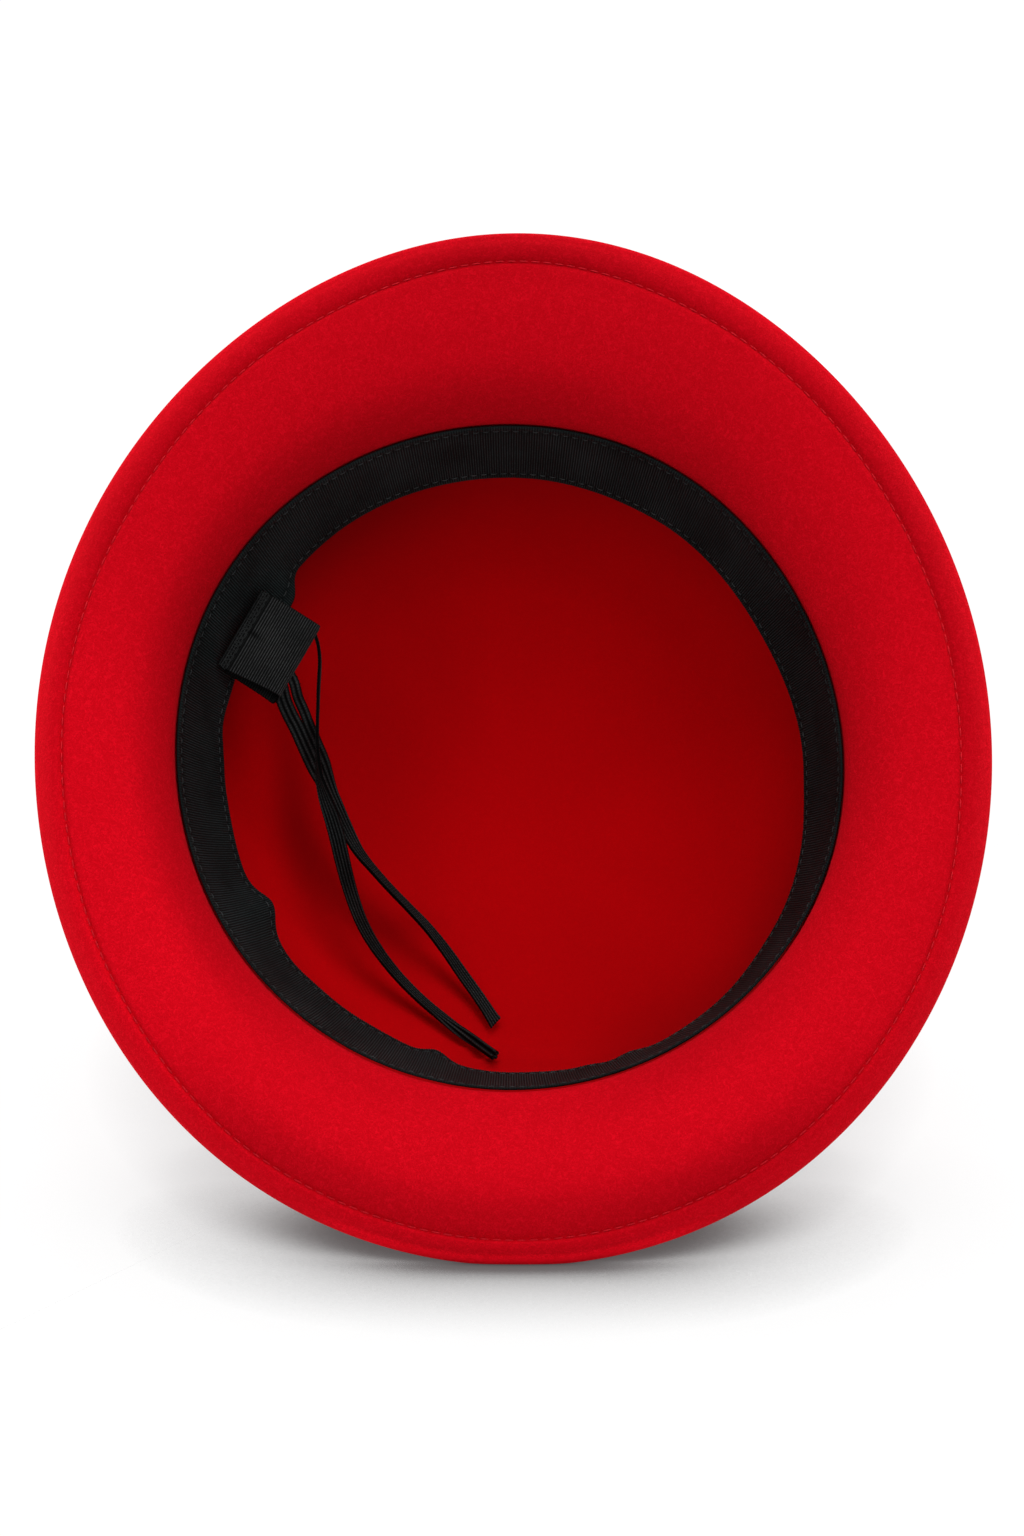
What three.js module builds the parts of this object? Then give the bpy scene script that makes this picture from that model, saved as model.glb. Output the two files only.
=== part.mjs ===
import * as THREE from "three";
import { mergeVertices } from "three/addons/utils/BufferGeometryUtils.js";

// Cloche hat lying on its side, in millimetres with +Z up and the floor at z = 0.
// The hat's own directions: u across, v up the opening, w out of the opening, s = -w deep into the crown.

// Felt body
const FELT = 2.2;
const OPENING_RADIUS = 92.8;
const OVAL = 1.015;
const CROWN_DEPTH = 115;
const CROWN_FULLNESS = 3.5;
const EDGE_HALF_WIDTH = 131.1;
const EDGE_HALF_LENGTH = 143.5;
const EDGE_CENTRE = { u: 0.8, v: 1.6 };
const EDGE_EGG = 0.04;
const BRIM_RISE = 15;
const CREST_SHARE = 0.72;
const EDGE_ROLL = { top: 1, side: 3.5, bottom: 4.5 };
const BEND = { below: 3, beyond: 4.5 };
const HEM_WIDTH = 8;
const ROUND_STEPS = 56;

// Low waves of the soft felt round the brim's edge and the opening: how many, where one peaks, how high
const EDGE_WAVES = [
  { count: 1, peak: 24, high: 0.3 },
  { count: 2, peak: 143, high: 0.2 },
  { count: 3, peak: 40, high: 0.55 },
  { count: 4, peak: 83, high: 0.28 },
  { count: 5, peak: 14, high: 0.26 },
];
const OPENING_WAVES = [
  { count: 1, peak: 189, high: 0.4 },
  { count: 2, peak: 137, high: 0.73 },
  { count: 3, peak: 107, high: 0.16 },
  { count: 4, peak: 60, high: 0.38 },
  { count: 5, peak: 65, high: 0.16 },
];
const WAVE_DEPTH = 50;

// How the hat lies: the axis rises by TILT from level, and the felt gives where brim and crown rest
const TILT = 35.3;
const EDGE_SINK = 0.2;
const GIVE = 0.3;

// Sweatband, sewn in at the opening, its free edge leaning in
const BAND_THICK = 1.0;
const BAND_WIDTH = 27.5;
const BAND_RADIUS = 92.0;
const BAND_TOP = 2.0;
const BAND_STEPS = 96;
const BAND_ROWS = 5;
const LEAN_ROWS = [
  { angle: 0, lean: 8.9 },
  { angle: 30, lean: 10.9 },
  { angle: 60, lean: 9.3 },
  { angle: 90, lean: 8.3 },
  { angle: 120, lean: 7.9 },
  { angle: 150, lean: 9.2 },
  { angle: 180, lean: 11.0 },
  { angle: 210, lean: 11.7 },
  { angle: 240, lean: 10.4 },
  { angle: 270, lean: 7.2 },
  { angle: 300, lean: 4.9 },
  { angle: 330, lean: 5.5 },
];
const FOLDS = [
  { angle: 171, wide: 5, inward: -1.0 },
  { angle: 190, wide: 9, inward: 0.7 },
  { angle: 209.5, wide: 4.2, inward: 3.6 },
  { angle: 221, wide: 6, inward: -0.8 },
  { angle: 255.5, wide: 3, inward: 2.0 },
  { angle: 285, wide: 2.5, inward: 0.4 },
  { angle: 293, wide: 3, inward: 1.0 },
  { angle: 314, wide: 9, inward: -0.5 },
  { angle: 347, wide: 8, inward: -0.3 },
];
const CURLS = [{ angle: 145, wide: 6, inward: 5.2 }];

// Adjuster loop: a ribbon folded in half, its ends sewn together on the face of the sweatband
const LOOP_ANGLE = 150.5;
const LOOP_TILT = 19.5;
const LOOP_LONG = 24.8;
const LOOP_SHIFT = 3.9;
const LOOP_REACH = 20;
const LOOP_BASE_RADIUS = 85.1;
const LOOP_DEPTH = 16;
const LOOP_SEWN = 2.4;
const RIBBON = 0.8;
const LOOP_HEIGHT = 3.6;
const LOOP_BASE_HEIGHT = 1.8;

// Flat elastics: half the section, then the routes from under the loop to the lowest part of the crown
const ELASTIC = { width: 4.5, thick: 1.3, corner: 0.4 };
const FRONT_ROUTE = [
  { u: -65.0, v: 43.2, s: 23.0, turn: 80 },
  { u: -60.5, v: 42.8, s: 24.6, turn: 85 },
  { u: -57.0, v: 41.2, s: 26.0, turn: 88 },
  { u: -55.0, v: 37.8, s: 27.6, turn: 90 },
  { u: -54.1, v: 33.2, s: 30.4, turn: 90 },
  { u: -54.5, v: 22.9, s: 33.6, turn: 90 },
  { u: -54.9, v: 10.2, s: 38.8, turn: 86 },
  { u: -54.5, v: 1.4, s: 44.5, turn: 70 },
  { u: -53.0, v: -4.4, s: 48.0, turn: 42 },
  { u: -51.2, v: -9.8, s: 51.8, turn: 16 },
  { u: -49.7, v: -15.0, s: 55.5, turn: 4 },
  { u: -48.4, v: -20.5, s: 59.8, turn: 0 },
  { u: -47.1, v: -25.6, s: 64.3, turn: -2 },
  { u: -45.6, v: -30.5, s: 68.8, turn: -6 },
  { u: -43.6, v: -35.7, s: 73.4, turn: -14 },
  { u: -41.1, v: -40.4, s: 77.6, turn: -24 },
  { u: -37.4, v: -45.6, s: 82.0, turn: -36 },
  { u: -32.2, v: -51.6, s: 86.0, turn: -44 },
  { u: -25.2, v: -58.3, s: 88.6, turn: -46 },
  { u: -16.1, v: -65.8, s: 87.6, turn: -46 },
  { u: -9.6, v: -71.0, s: 83.2, turn: -44 },
  { u: -4.3, v: -75.5, s: 77.2, turn: -42 },
];
const BACK_ROUTE = [
  { u: -72.6, v: 33.2, s: 20.7, turn: 0 },
  { u: -67.8, v: 29.8, s: 23.0, turn: 0 },
  { u: -63.9, v: 25.2, s: 25.4, turn: 0 },
  { u: -62.4, v: 20.5, s: 30.5, turn: 0 },
  { u: -60.0, v: 15.7, s: 37.0, turn: 0 },
  { u: -57.5, v: 10.6, s: 44.2, turn: -2 },
  { u: -55.0, v: 5.5, s: 51.0, turn: -6 },
  { u: -52.5, v: 0.1, s: 57.2, turn: -12 },
  { u: -49.9, v: -5.4, s: 62.8, turn: -22 },
  { u: -47.3, v: -10.7, s: 67.6, turn: -32 },
  { u: -44.2, v: -16.1, s: 71.0, turn: -48 },
  { u: -40.5, v: -20.4, s: 75.0, turn: -58 },
  { u: -35.4, v: -25.6, s: 80.0, turn: -58 },
  { u: -29.9, v: -30.7, s: 85.0, turn: -54 },
  { u: -24.1, v: -36.3, s: 89.5, turn: -46 },
  { u: -18.8, v: -42.6, s: 93.0, turn: -36 },
  { u: -13.8, v: -49.5, s: 95.0, turn: -26 },
  { u: -8.8, v: -56.6, s: 94.8, turn: -25 },
  { u: -4.1, v: -64.1, s: 92.0, turn: -24 },
];

const rad = THREE.MathUtils.degToRad;
const clamp = THREE.MathUtils.clamp;
const lerp = THREE.MathUtils.lerp;

// The hat's directions in the group's own axes
const place = (u, v, w) => new THREE.Vector3(u, w, -v);

const red = new THREE.MeshStandardMaterial({ color: 0xc8101c, roughness: 0.95 });
const black = new THREE.MeshStandardMaterial({ color: 0x16161a, roughness: 0.8 });

const hat = new THREE.Group();
hat.rotation.x = Math.PI - rad(TILT);

function addPiece(name, geometry, material) {
  const mesh = new THREE.Mesh(geometry, material);
  mesh.name = name;
  hat.add(mesh);
}

// A closed surface with shared corners and no collapsed faces
function sealed(geometry) {
  geometry.deleteAttribute("normal");
  geometry.deleteAttribute("uv");
  const merged = mergeVertices(geometry, 1e-4);
  const kept = [];
  const index = merged.index.array;
  for (let i = 0; i < index.length; i += 3) {
    const [a, b, c] = [index[i], index[i + 1], index[i + 2]];
    if (a !== b && b !== c && a !== c) kept.push(a, b, c);
  }
  merged.setIndex(kept);
  merged.computeVertexNormals();
  return merged;
}

function waveAt(angle, waves) {
  return waves.reduce((sum, wave) => sum + wave.high * Math.cos(wave.count * (angle - rad(wave.peak))), 0);
}

// Brim edge, an oval a little narrower at the top, and how far it rolls back at each angle round the opening
function edgeSpot(angle) {
  const wave = waveAt(angle, EDGE_WAVES);
  const wide = EDGE_HALF_WIDTH * (1 - EDGE_EGG * Math.sin(angle)) + wave;
  return {
    u: EDGE_CENTRE.u + wide * Math.cos(angle),
    v: EDGE_CENTRE.v + (EDGE_HALF_LENGTH + wave) * Math.sin(angle),
  };
}

function edgeRoll(angle) {
  const up = Math.sin(angle);
  const slope = (EDGE_ROLL.top - EDGE_ROLL.bottom) / 2;
  const bow = (EDGE_ROLL.top + EDGE_ROLL.bottom) / 2 - EDGE_ROLL.side;
  return EDGE_ROLL.side + slope * up + bow * up * up;
}

// Inner face of the felt as a section (radius, w), from the crown's middle to the hem's fold
const MEAN_EDGE = (EDGE_HALF_WIDTH + EDGE_HALF_LENGTH) / 2;
const BRIM_WIDTH = MEAN_EDGE - OPENING_RADIUS;
const CREST_RADIUS = OPENING_RADIUS + CREST_SHARE * BRIM_WIDTH;
const wallRadius = (s) => OPENING_RADIUS * Math.sqrt(1 - (s / CROWN_DEPTH) ** CROWN_FULLNESS);
const flare = (share) => BRIM_RISE * (1 - (1 - share / CREST_SHARE) ** 2);

function innerSection() {
  const points = [];
  const turns = 22;
  for (let k = 0; k <= turns; k += 1) {
    const part = (k / turns) * (Math.PI / 2);
    const s = CROWN_DEPTH * Math.cos(part) ** (2 / CROWN_FULLNESS);
    if (s < BEND.below + 8) break;
    points.push(new THREE.Vector2(OPENING_RADIUS * Math.sin(part), -s));
  }
  const start = new THREE.Vector2(wallRadius(BEND.below), -BEND.below);
  const corner = new THREE.Vector2(OPENING_RADIUS, 0);
  const end = new THREE.Vector2(OPENING_RADIUS + BEND.beyond, flare(BEND.beyond / BRIM_WIDTH));
  points.push(...new THREE.QuadraticBezierCurve(start, corner, end).getPoints(5));
  for (const share of [0.28, 0.41, 0.54, 0.66, 0.75]) {
    const rise = share < CREST_SHARE ? flare(share) : BRIM_RISE;
    points.push(new THREE.Vector2(OPENING_RADIUS + share * BRIM_WIDTH, rise));
  }
  const hemStart = MEAN_EDGE - HEM_WIDTH;
  const hemEnd = MEAN_EDGE - FELT;
  points.push(new THREE.Vector2(hemStart, BRIM_RISE));
  points.push(new THREE.Vector2((hemStart + hemEnd) / 2, BRIM_RISE));
  points.push(new THREE.Vector2(hemEnd, BRIM_RISE));
  return points;
}

// Felt body: the section with its thickness and folded hem, turned round the axis and then shaped
function feltBody() {
  const inner = innerSection();
  const last = inner.length - 1;
  const hemFrom = last - 2;
  const outward = inner.map((point, k) => {
    const before = inner[Math.max(k - 1, 0)];
    const after = inner[Math.min(k + 1, last)];
    const along = after.clone().sub(before).normalize();
    return k === 0 ? new THREE.Vector2(0, -1) : new THREE.Vector2(along.y, -along.x);
  });
  const offset = (k, by) => inner[k].clone().addScaledVector(outward[k], by);
  const section = [];
  const station = [];
  const push = (point, k) => {
    section.push(point);
    station.push(k);
  };
  inner.forEach((point, k) => push(point, k));
  const tip = outward[last];
  const ahead = new THREE.Vector2(-tip.y, tip.x);
  const centre = offset(last, FELT);
  for (const degrees of [45, 90, 135]) {
    const arc = rad(degrees);
    const spot = centre.clone().addScaledVector(tip, -FELT * Math.cos(arc));
    push(spot.addScaledVector(ahead, FELT * Math.sin(arc)), last);
  }
  for (let k = last; k >= hemFrom; k -= 1) push(offset(k, 2 * FELT), k);
  for (let k = hemFrom; k >= 0; k -= 1) push(offset(k, FELT), k);
  section.reverse();
  station.reverse();

  const geometry = new THREE.LatheGeometry(section, ROUND_STEPS);
  const spots = geometry.attributes.position;
  const rows = section.length;
  const point = new THREE.Vector3();
  for (let i = 0; i <= ROUND_STEPS; i += 1) {
    const lift = new Array(inner.length).fill(0);
    for (let j = 0; j < rows; j += 1) {
      shapeFelt(point.fromBufferAttribute(spots, i * rows + j));
      spots.setXYZ(i * rows + j, point.x, point.y, point.z);
      lift[station[j]] = Math.max(lift[station[j]], rest(height(point)) - height(point));
    }
    for (let j = 0; j < rows; j += 1) {
      point.fromBufferAttribute(spots, i * rows + j).addScaledVector(UP, lift[station[j]]);
      spots.setXYZ(i * rows + j, point.x, point.y, point.z);
    }
  }
  return sealed(geometry);
}

// Crown drawn to a waved oval, brim drawn out to its own edge and rolled back beyond the crest
function shapeFelt(point) {
  const radius = Math.hypot(point.x, point.z);
  const angle = Math.atan2(-point.z, point.x);
  const share = (radius - OPENING_RADIUS) / BRIM_WIDTH;
  const wave = waveAt(angle, OPENING_WAVES) * THREE.MathUtils.smoothstep(point.y, -WAVE_DEPTH, 0);
  const stretch = 1 + wave / OPENING_RADIUS;
  point.x *= stretch;
  point.z *= stretch * OVAL;
  if (share <= 0) return;
  const edge = edgeSpot(angle);
  const past = Math.max(0, (share - CREST_SHARE) / (1 - CREST_SHARE));
  point.x = lerp(OPENING_RADIUS * stretch * Math.cos(angle), edge.u, share);
  point.z = -lerp(OPENING_RADIUS * stretch * OVAL * Math.sin(angle), edge.v, share);
  point.y -= edgeRoll(angle) * past * past;
}

// Height over the floor in the hat's own axes, and the felt's give where it rests
const UP = place(0, Math.cos(rad(TILT)), Math.sin(rad(TILT)));
const LOW_EDGE = new THREE.Vector3();
LOW_EDGE.copy(place(0, edgeSpot(-Math.PI / 2).v, BRIM_RISE - EDGE_ROLL.bottom - FELT));
const LIFT = -UP.dot(LOW_EDGE) - EDGE_SINK;
const height = (point) => UP.dot(point) + LIFT;

function rest(h) {
  if (h <= -GIVE) return 0;
  if (h >= GIVE) return h;
  return (h + GIVE) ** 2 / (4 * GIVE);
}

// Sweatband: a thin strip turned round the axis, leaning in by the rows and folds above, its free edge curled
function foldsAt(degrees, folds, power) {
  let inward = 0;
  for (const fold of folds) {
    const off = ((degrees - fold.angle + 540) % 360) - 180;
    inward += fold.inward * Math.exp(-(Math.abs(off / fold.wide) ** power));
  }
  return inward;
}

function bandLean(angle, share) {
  const degrees = ((THREE.MathUtils.radToDeg(angle) % 360) + 360) % 360;
  const step = 360 / LEAN_ROWS.length;
  const row = Math.floor(degrees / step) % LEAN_ROWS.length;
  const ease = THREE.MathUtils.smoothstep(degrees / step - Math.floor(degrees / step), 0, 1);
  const lean = lerp(LEAN_ROWS[row].lean, LEAN_ROWS[(row + 1) % LEAN_ROWS.length].lean, ease);
  return (lean + foldsAt(degrees, FOLDS, 2)) * share ** 1.25 + foldsAt(degrees, CURLS, 4) * share ** 6;
}

function sweatband() {
  const section = [];
  const half = BAND_THICK / 2;
  for (let k = 0; k <= BAND_ROWS; k += 1) {
    section.push(new THREE.Vector2(BAND_RADIUS - half, -BAND_TOP - (BAND_WIDTH * k) / BAND_ROWS));
  }
  for (let k = BAND_ROWS; k >= 0; k -= 1) {
    section.push(new THREE.Vector2(BAND_RADIUS + half, -BAND_TOP - (BAND_WIDTH * k) / BAND_ROWS));
  }
  section.push(section[0].clone());
  const geometry = new THREE.LatheGeometry(section, BAND_STEPS);
  const spots = geometry.attributes.position;
  for (let i = 0; i < spots.count; i += 1) {
    const [x, y, z] = [spots.getX(i), spots.getY(i), spots.getZ(i)];
    const radius = Math.hypot(x, z);
    const share = (-y - BAND_TOP) / BAND_WIDTH;
    const angle = Math.atan2(-z, x);
    const lean = bandLean(angle, share);
    const scale = (radius - lean + waveAt(angle, OPENING_WAVES) * (1 - share)) / radius;
    spots.setXYZ(i, x * scale, y + (lean * share) / 6, z * scale * OVAL);
  }
  return sealed(geometry);
}

// Adjuster loop: the folded section, with the way through it, extruded along the band
function adjusterLoop() {
  const outline = loopOutline(0, LOOP_SEWN, LOOP_REACH, LOOP_BASE_HEIGHT / 2, LOOP_HEIGHT / 2);
  const way = LOOP_SEWN + 1.5;
  outline.holes.push(loopOutline(way, way, LOOP_REACH - RIBBON, 0.2, LOOP_HEIGHT / 2 - RIBBON));
  const geometry = new THREE.ExtrudeGeometry(outline, {
    depth: LOOP_LONG,
    bevelEnabled: false,
    curveSegments: 5,
  });
  geometry.translate(0, 0, LOOP_SHIFT - LOOP_LONG / 2);
  const [flat, steep] = [Math.cos(rad(LOOP_TILT)), Math.sin(rad(LOOP_TILT))];
  const [left, up] = [-Math.cos(rad(LOOP_ANGLE)), -Math.sin(rad(LOOP_ANGLE))];
  const inward = place(left * flat, up * flat, -steep);
  const out = place(left * steep, up * steep, flat);
  const along = inward.clone().cross(out);
  const base = place(
    LOOP_BASE_RADIUS * Math.cos(rad(LOOP_ANGLE)),
    LOOP_BASE_RADIUS * Math.sin(rad(LOOP_ANGLE)),
    -LOOP_DEPTH,
  );
  geometry.applyMatrix4(new THREE.Matrix4().makeBasis(inward, out, along).setPosition(base));
  return sealed(geometry);
}

function loopOutline(from, sewn, to, baseHalf, tipHalf) {
  const shape = new THREE.Shape();
  const neck = to - tipHalf;
  shape.moveTo(from, -baseHalf);
  if (sewn > from) shape.lineTo(sewn, -baseHalf);
  shape.bezierCurveTo(sewn + 3, -baseHalf, sewn + 3, -tipHalf, sewn + 6, -tipHalf);
  shape.lineTo(neck, -tipHalf);
  shape.absarc(neck, 0, tipHalf, -Math.PI / 2, Math.PI / 2, false);
  shape.lineTo(sewn + 6, tipHalf);
  shape.bezierCurveTo(sewn + 3, tipHalf, sewn + 3, baseHalf, sewn, baseHalf);
  if (sewn > from) shape.lineTo(from, baseHalf);
  return shape;
}

// Flat elastic: a straight extrusion laid along its route, turned as the rows say
function elastic(route, steps) {
  const section = new THREE.Shape();
  const wide = ELASTIC.width / 2;
  const thick = ELASTIC.thick / 2;
  section.moveTo(-wide, -thick + ELASTIC.corner);
  section.lineTo(-wide + ELASTIC.corner, -thick);
  section.lineTo(wide - ELASTIC.corner, -thick);
  section.lineTo(wide, -thick + ELASTIC.corner);
  section.lineTo(wide, thick - ELASTIC.corner);
  section.lineTo(wide - ELASTIC.corner, thick);
  section.lineTo(-wide + ELASTIC.corner, thick);
  section.lineTo(-wide, thick - ELASTIC.corner);
  section.closePath();
  const line = new THREE.CatmullRomCurve3(route.map((row) => place(row.u, row.v, -row.s)));
  const geometry = new THREE.ExtrudeGeometry(section, { depth: 1, steps, bevelEnabled: false });
  const spots = geometry.attributes.position;
  const out = place(0, 0, 1);
  for (let i = 0; i < spots.count; i += 1) {
    const share = clamp(spots.getZ(i), 0, 1);
    const at = share * (route.length - 1);
    const row = Math.min(Math.floor(at), route.length - 2);
    const turn = rad(lerp(route[row].turn, route[row + 1].turn, at - row));
    const along = line.getTangent(share);
    const face = out.clone().addScaledVector(along, -out.dot(along)).normalize();
    const side = face.clone().cross(along);
    const across = side.clone().multiplyScalar(Math.cos(turn)).addScaledVector(face, Math.sin(turn));
    const over = face.clone().multiplyScalar(Math.cos(turn)).addScaledVector(side, -Math.sin(turn));
    const spot = line.getPoint(share);
    spot.addScaledVector(across, spots.getX(i)).addScaledVector(over, spots.getY(i));
    spots.setXYZ(i, spot.x, spot.y, spot.z);
  }
  return sealed(geometry);
}

addPiece("felt_body", feltBody(), red);
addPiece("sweatband", sweatband(), black);
addPiece("adjuster_loop", adjusterLoop(), black);
addPiece("elastic_front", elastic(FRONT_ROUTE, 27), black);
addPiece("elastic_back", elastic(BACK_ROUTE, 25), black);

// The floor under the hat, and the middle of its box over the origin
hat.position.z = LIFT;
hat.updateMatrixWorld(true);
const box = new THREE.Box3().setFromObject(hat, true);
hat.position.x -= (box.min.x + box.max.x) / 2;
hat.position.y -= (box.min.y + box.max.y) / 2;

const part = new THREE.Group();
part.name = "cloche_hat";
part.add(hat);
export default part;
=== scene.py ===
"""Looks of the cloche hat: felt, sweatband, adjuster loop and two elastics, with studio and camera."""
import math

import bmesh
import bpy
import numpy as np
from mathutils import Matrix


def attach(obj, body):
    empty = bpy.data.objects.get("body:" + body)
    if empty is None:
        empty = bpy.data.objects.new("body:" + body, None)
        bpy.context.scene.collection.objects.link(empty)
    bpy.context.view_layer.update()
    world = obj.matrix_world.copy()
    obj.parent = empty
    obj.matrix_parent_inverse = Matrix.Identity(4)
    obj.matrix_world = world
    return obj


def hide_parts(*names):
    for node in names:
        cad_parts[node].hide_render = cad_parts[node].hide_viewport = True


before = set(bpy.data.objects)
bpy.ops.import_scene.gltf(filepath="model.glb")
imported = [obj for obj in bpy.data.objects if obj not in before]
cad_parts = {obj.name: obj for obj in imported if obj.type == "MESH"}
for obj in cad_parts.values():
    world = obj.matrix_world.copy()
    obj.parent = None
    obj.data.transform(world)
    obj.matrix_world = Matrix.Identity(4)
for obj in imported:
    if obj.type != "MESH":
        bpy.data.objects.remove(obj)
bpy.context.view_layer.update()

# Sizes are in millimetres, and MM turns them into metres
MM = 0.001

# The hat's own directions: u across, v up the opening, w out of the opening
TILT = math.radians(35.3)
OPENING_AT = np.array([-0.888, -13.642, 111.06])
U = np.array([1.0, 0.0, 0.0])
V = np.array([0.0, math.sin(TILT), math.cos(TILT)])
W = np.array([0.0, -math.cos(TILT), math.sin(TILT)])
UP = np.array([0.0, 0.0, 1.0])

# Camera: lens and sensor, shift in pixels of the photograph, rise above the floor, distance in metres
LENS = 110.2
SENSOR = 36.0
PHOTO_TALL = 1536
SHIFT_RIGHT = 2
SHIFT_UP = -16
CAMERA_RISE = math.radians(25.0)
CAMERA_AWAY = 1.3

# Felt body
FELT = 2.2
OPENING_RADIUS = 92.8
OVAL = 1.015
CROWN_DEPTH = 115.0
CROWN_FULLNESS = 3.5
EDGE_HALF_WIDTH = 131.1
EDGE_HALF_LENGTH = 143.5
EDGE_CENTRE_U = 0.8
EDGE_CENTRE_V = 1.6
EDGE_EGG = 0.04
BRIM_RISE = 15.0
CREST_SHARE = 0.72
ROLL_TOP = 1.0
ROLL_SIDE = 3.5
ROLL_BOTTOM = 4.5
BEND_BELOW = 3.0
BEND_BEYOND = 4.5
HEM_WIDTH = 8.0
GIVE = 0.3
MEAN_EDGE = (EDGE_HALF_WIDTH + EDGE_HALF_LENGTH) / 2
BRIM_WIDTH = MEAN_EDGE - OPENING_RADIUS

# Steps of the felt's mesh: rows of the crown, bend, brim, hem and fold, and columns round the hat
CROWN_ROWS = 46
BEND_ROWS = 10
BEND_CLEAR = 5.0
BRIM_ROWS = 20
HEM_ROWS = 32
HEM_FROM = 11.0
FOLD_ROWS = 13
FELT_COLUMNS = 480

# Low waves of the soft felt: how many go round, where one peaks in degrees, how high
EDGE_WAVES = [(1, 24, 0.3), (2, 143, 0.2), (3, 40, 0.55), (4, 83, 0.28), (5, 14, 0.26)]
OPENING_WAVES = [(1, 189, 0.4), (2, 137, 0.73), (3, 107, 0.16), (4, 60, 0.38), (5, 65, 0.16)]
WAVE_DEPTH = 50.0

# Lists that go round the hat have a number for each step of so many degrees
ROUND_STEP = 30.0

# Painted light and shade on the felt, as lightness by angle: by the opening, mid-brim, in the crown, on its
# wall, at the edge
SHADE_NEAR = [0.90, 0.92, 0.73, 0.62, 0.60, 0.66, 0.80, 0.78, 0.92, 0.96, 0.85, 0.95]
SHADE_MIDDLE = [1.04, 0.97, 0.90, 0.93, 0.95, 1.00, 1.14, 1.15, 1.06, 1.04, 1.05, 1.05]
SHADE_CROWN = [0.12, 0.09, 0.10, 0.03, -0.12, -0.19, -0.17, -0.14, -0.11, -0.07, -0.08, 0.02]
SHADE_WALL = [0.08, 0.0, -0.08, -0.09, -0.08, 0.1, 0.6, 0.35, 0.25, 0.1, -0.06, 0.0]
SHADE_OUTER = [0.99, 0.89, 0.92, 0.80, 0.94, 0.95, 1.14, 1.18, 1.10, 1.13, 0.97, 1.00]

# Fades of the painted light and shade as (start, length), by the share of the brim's width
MIDDLE_FADE = (0.06, 0.32)
OUTER_FADE = (0.6, 0.3)

# Painted shade on a darker strip low on the brim, painted light on the lowest edge, painted shade on the hem
# of the upper half
LOW_FADE = (0.6, 0.3)
LOW_SHADE = 0.27
LOW_AT = 0.75
LOW_WIDE = 0.12
LOWEST_FADE = (0.9, 0.08)
LOWEST_PAINTED_LIGHT = 0.6
LOWEST_EDGE = (0.93, 0.06)
UPPER_FADE = (-0.35, 0.5)
UPPER_SHADE = 0.11
UPPER_HEM = (1, 3)

# Inside of the crown: painted shade on its wall, lighter on one side, painted light in the middle, and a
# soft painted shadow of the elastics beside them
WALL_SHADE = 0.555
WALL_SIDE_LIGHT = 0.15
WALL_TURN = 0.26
DEEP_LIGHT = 1.08
DEEP_FADE = (45, 50)
CROWN_FADE = (5, 40)
WALL_FADE = (62, 12)
CORD_SHADOW_RADIUS = 71
CORD_SHADOW_SLOPE = 0.36
CORD_SHADOW_FROM = 160
CORD_SHADOW_WIDE = 7
CORD_SHADOW_DARK = 0.36
CORD_SHADOW_START = (140, 22)
CORD_SHADOW_END = (222, 25)
MOUTH_FADE = (-14, 16)

# Plain outside of the hat, and how strong the nap is deep inside and at the mouth; where the nap is weak,
# the red is also made purer and darker as painted bounced light
OUTSIDE_TINT = 0.86
OUTSIDE_FADE = (2, 10)
NAP_AND_BOUNCE_INSIDE = 0.25
NAP_AND_BOUNCE_FADE = (-12, 12)

# Stitched groove and puffed hem on the felt
GROOVE_IN = 7.6
GROOVE_ROUND = [10.1, 10.1, 9.3, 7.6, 9.3, 10.9, 9.3, 8.4, 6.8, 6.0, 6.8, 7.8]
GROOVE_FADE = 16.0
GROOVE_DEPTH = 0.82
GROOVE_WIDE = 0.75
HEM_PUFF = 0.8
PUFF_POWER = 0.8
PULL_HIGH = 0.18
PULL_BEYOND = 2.6
PULL_WIDE = 1.6
RELIEF_FADE = 4.0
BACK_SHARE = 0.5
BACK_BEYOND = 3.0
LIFT_FADE = 9.0
BRIM_STITCH_PITCH = 3.3
BRIM_STITCH_LONG = 2.5
BRIM_STITCH_THICK = 0.38
BRIM_STITCH_HIGH = 0.34
BRIM_STITCH_BACK = 0.12
BRIM_STITCH_CLEAR = 0.5
SMALL_TURN = 0.002

# Mesh of one stitch: rows along it, sides round it, how high it arches and how deep its ends sink
STITCH_ROWS = 7
STITCH_SIDES = 6
STITCH_ARCH = 0.55
STITCH_SINK = 0.45

# Sweatband
BAND_THICK = 1.0
BAND_WIDTH = 27.5
BAND_RADIUS = 92.0
BAND_TOP = 2.0
BAND_RIBS = 780
RIB_HIGH = 0.12
BAND_STITCH_PITCH = 2.8
BAND_STITCH_LONG = 2.0
BAND_STITCH_THICK = 0.34
BAND_STITCH_IN = 0.12
STITCH_SHARES = (0.085, 0.915)
STITCH_WIDE = 0.022
STITCH_DEEP = 0.22
STITCH_SHADE = 0.6
RIB_STEPS = 4
BORDER_RIB_SHARE = 0.6
BORDER_WIDE = 0.015
EDGE_THIN = 0.55
EDGE_ROUND = 0.02
BACK_THIN = 0.6
BACK_ROUND = 0.03
SEWN_EDGE_HIGHLIGHT = 0.2
BAND_MIDDLE = 20.0
LEAN_POWER = 1.25
LEAN_RISE = 6
FOLD_POWER = 2
CURL_POWER = 6
CURL_FLATNESS = 4
LEAN = [8.9, 10.9, 9.3, 8.3, 7.9, 9.2, 11.0, 11.7, 10.4, 7.2, 4.9, 5.5]
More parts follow.
